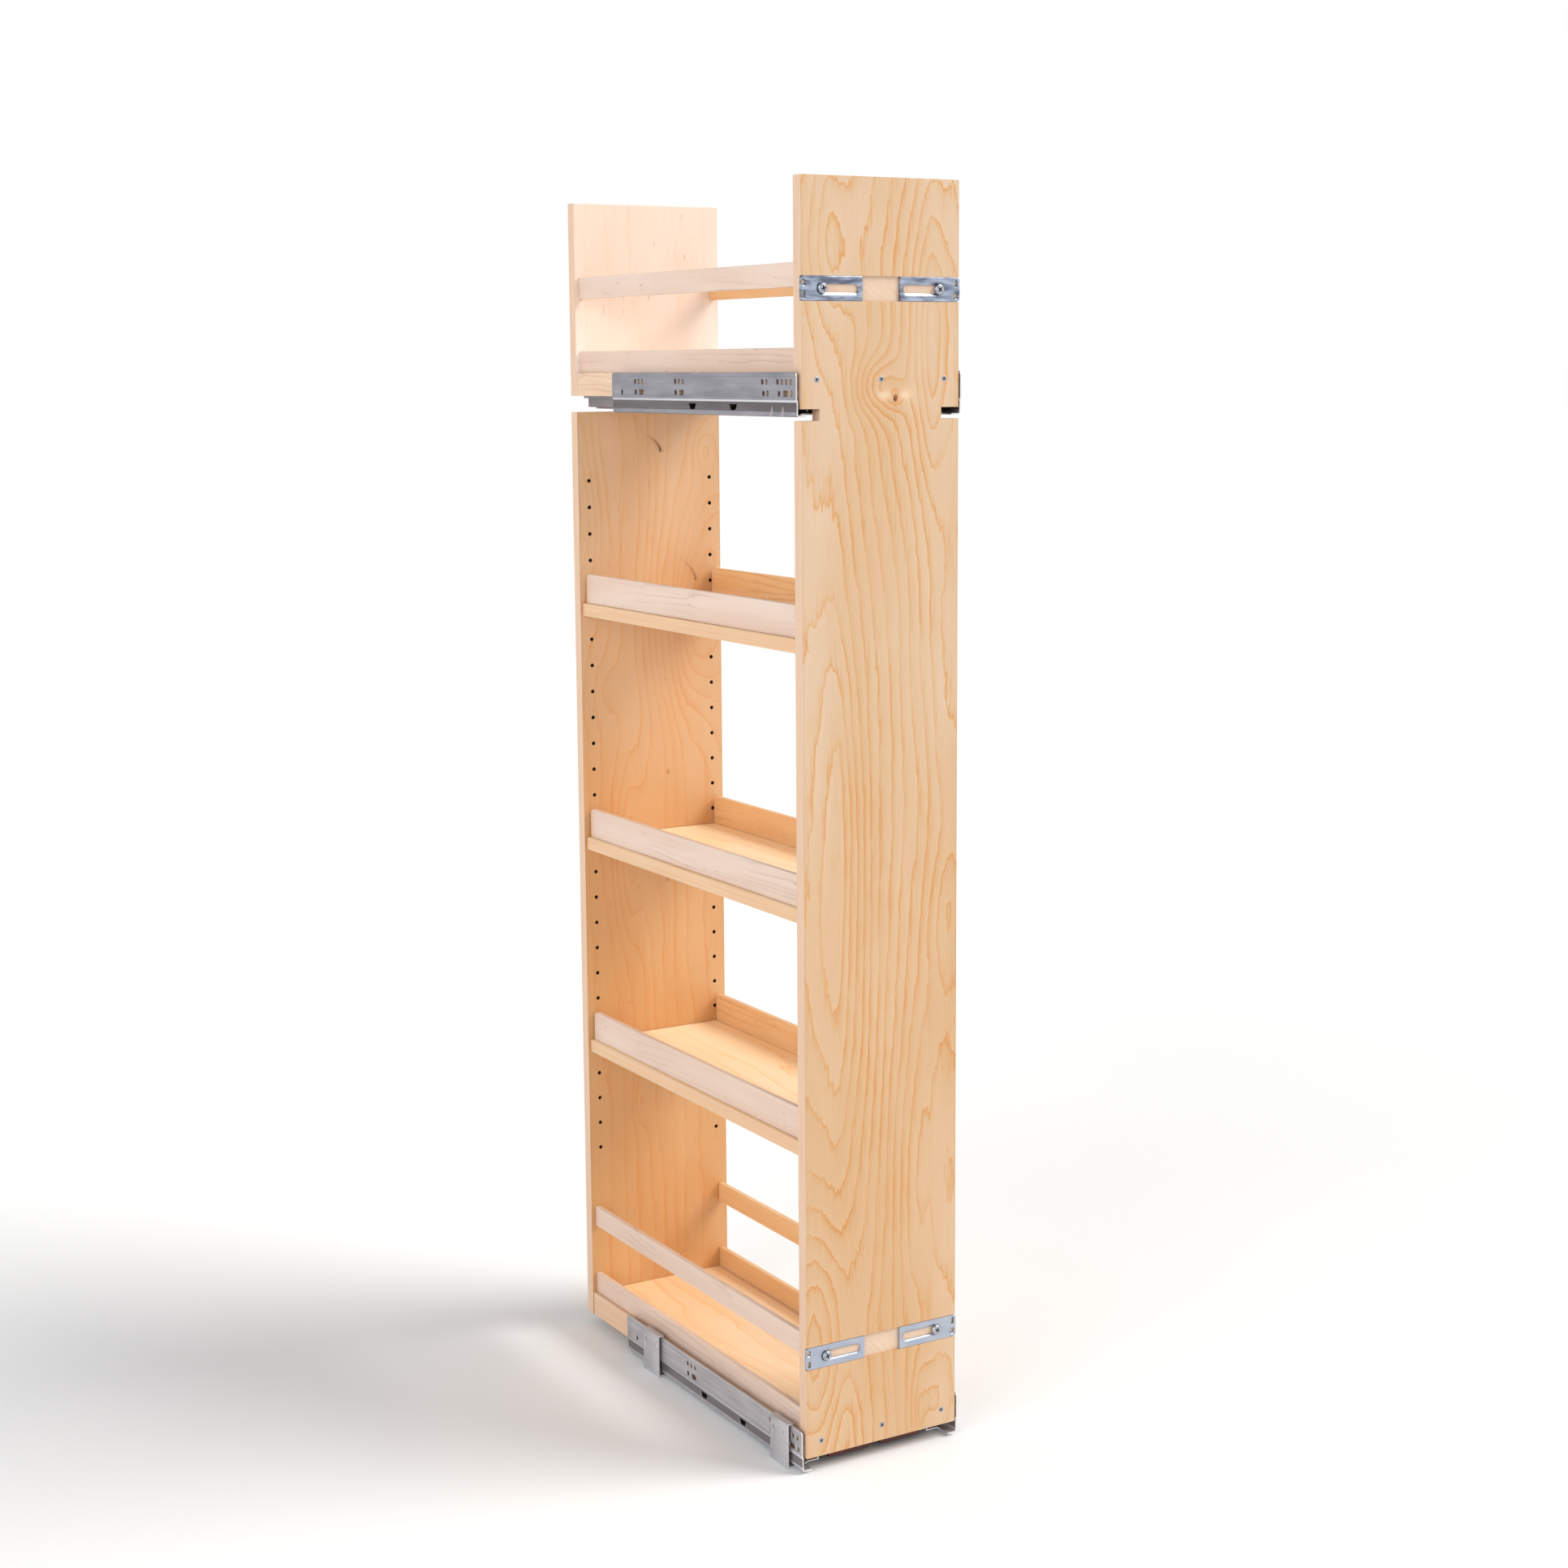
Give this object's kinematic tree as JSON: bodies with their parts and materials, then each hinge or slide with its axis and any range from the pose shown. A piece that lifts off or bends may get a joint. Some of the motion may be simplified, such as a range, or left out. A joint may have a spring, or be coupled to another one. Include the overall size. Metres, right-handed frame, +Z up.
{
  "type": "pull-out pantry organizer",
  "caption": "Tall narrow open-sided wooden shelf unit that pulls out of a kitchen cabinet on undermount roller slides, with adjustable shelves, side rails and slotted brackets for the door.",
  "frame": {"origin": "on the cabinet floor, under the middle of the assembly's box, with the unit pushed in", "axes": "-Y towards the front, where the door is; +X to the right seen from the front; +Z up"},
  "size_m": [0.2148, 0.5364, 1.3896],
  "materials": {
    "birch_panel": "clear satin lacquer over rotary-cut birch and maple veneer",
    "maple_strip": "clear satin lacquer on solid maple strips",
    "zinc_sheet": "rolled and zinc-plated, satin grey",
    "bright_zinc": "bright zinc plated, bluish",
    "nylon": "moulded natural nylon",
    "clip_plastic": "moulded dark red-brown plastic"
  },
  "bodies": {
    "cabinet_rails": {"fixed_rail_lower_left": "zinc_sheet", "fixed_rail_lower_right": "zinc_sheet", "fixed_rail_upper_left": "zinc_sheet", "fixed_rail_upper_right": "zinc_sheet", "slide_spacer_front_left": "zinc_sheet", "slide_spacer_front_right": "zinc_sheet", "slide_spacer_rear_left": "zinc_sheet", "slide_spacer_rear_right": "zinc_sheet"},
    "roller_carriages": {"roller_carriage_lower_left": "nylon", "roller_carriage_lower_right": "nylon", "roller_carriage_upper_left": "nylon", "roller_carriage_upper_right": "nylon"},
    "middle_members": {"middle_member_lower_left": "zinc_sheet", "middle_member_lower_right": "zinc_sheet", "middle_member_upper_left": "zinc_sheet", "middle_member_upper_right": "zinc_sheet"},
    "cart": {"bottom_apron_left": "maple_strip", "bottom_apron_right": "maple_strip", "bottom_high_rail_left": "maple_strip", "bottom_high_rail_right": "maple_strip", "bottom_low_rail_left": "maple_strip", "bottom_low_rail_right": "maple_strip", "bottom_shelf": "birch_panel", "bracket_screw_lower_left": "bright_zinc", "bracket_screw_lower_right": "bright_zinc", "bracket_screw_upper_left": "bright_zinc", "bracket_screw_upper_right": "bright_zinc", "drawer_member_lower_left": "zinc_sheet", "drawer_member_lower_right": "zinc_sheet", "drawer_member_upper_left": "zinc_sheet", "drawer_member_upper_right": "zinc_sheet", "front_panel": "birch_panel", "rear_panel_lower": "birch_panel", "rear_panel_upper": "birch_panel", "slide_clip_lower_left": "clip_plastic", "slide_clip_lower_right": "clip_plastic", "slide_clip_upper_left": "clip_plastic", "slide_clip_upper_right": "clip_plastic", "top_apron_left": "maple_strip", "top_apron_right": "maple_strip", "top_high_rail_left": "maple_strip", "top_high_rail_right": "maple_strip", "top_low_rail_left": "maple_strip", "top_low_rail_right": "maple_strip", "top_shelf": "birch_panel"},
    "upper_shelf": {"shelf_upper": "birch_panel", "shelf_upper_lip_left": "maple_strip", "shelf_upper_lip_right": "maple_strip"},
    "middle_shelf": {"shelf_middle": "birch_panel", "shelf_middle_lip_left": "maple_strip", "shelf_middle_lip_right": "maple_strip"},
    "lower_shelf": {"shelf_lower": "birch_panel", "shelf_lower_lip_left": "maple_strip", "shelf_lower_lip_right": "maple_strip"},
    "door_bracket_upper_left": {"door_bracket_upper_left": "bright_zinc"},
    "door_bracket_upper_right": {"door_bracket_upper_right": "bright_zinc"},
    "door_bracket_lower_left": {"door_bracket_lower_left": "bright_zinc"},
    "door_bracket_lower_right": {"door_bracket_lower_right": "bright_zinc"}
  },
  "joints": [
    {"name": "cart_pull_out", "type": "slide", "parent": "cabinet_rails", "child": "cart", "axis": [0, -1, 0], "range_m": [0, 0.533]},
    {"name": "middle_members_travel", "type": "slide", "parent": "cabinet_rails", "child": "middle_members", "axis": [0, -1, 0], "range_m": [0, 0.2665]},
    {"name": "roller_carriages_travel", "type": "slide", "parent": "cabinet_rails", "child": "roller_carriages", "axis": [0, -1, 0], "range_m": [0, 0.13325]},
    {"name": "upper_shelf_height", "type": "slide", "parent": "cart", "child": "upper_shelf", "axis": [0, 0, 1], "range_m": [0, 0.16]},
    {"name": "middle_shelf_height", "type": "slide", "parent": "cart", "child": "middle_shelf", "axis": [0, 0, 1], "range_m": [0, 0.16]},
    {"name": "lower_shelf_height", "type": "slide", "parent": "cart", "child": "lower_shelf", "axis": [0, 0, 1], "range_m": [0, 0.16]},
    {"name": "door_bracket_upper_left_reach", "type": "slide", "parent": "cart", "child": "door_bracket_upper_left", "axis": [-1, 0, 0], "range_m": [0, 0.04]},
    {"name": "door_bracket_upper_right_reach", "type": "slide", "parent": "cart", "child": "door_bracket_upper_right", "axis": [1, 0, 0], "range_m": [0, 0.04]},
    {"name": "door_bracket_lower_left_reach", "type": "slide", "parent": "cart", "child": "door_bracket_lower_left", "axis": [-1, 0, 0], "range_m": [0, 0.04]},
    {"name": "door_bracket_lower_right_reach", "type": "slide", "parent": "cart", "child": "door_bracket_lower_right", "axis": [1, 0, 0], "range_m": [0, 0.04]}
  ],
  "couplings": [
    {"joint": "middle_members_travel", "follows": "cart_pull_out", "ratio": 0.5},
    {"joint": "roller_carriages_travel", "follows": "cart_pull_out", "ratio": 0.25}
  ]
}
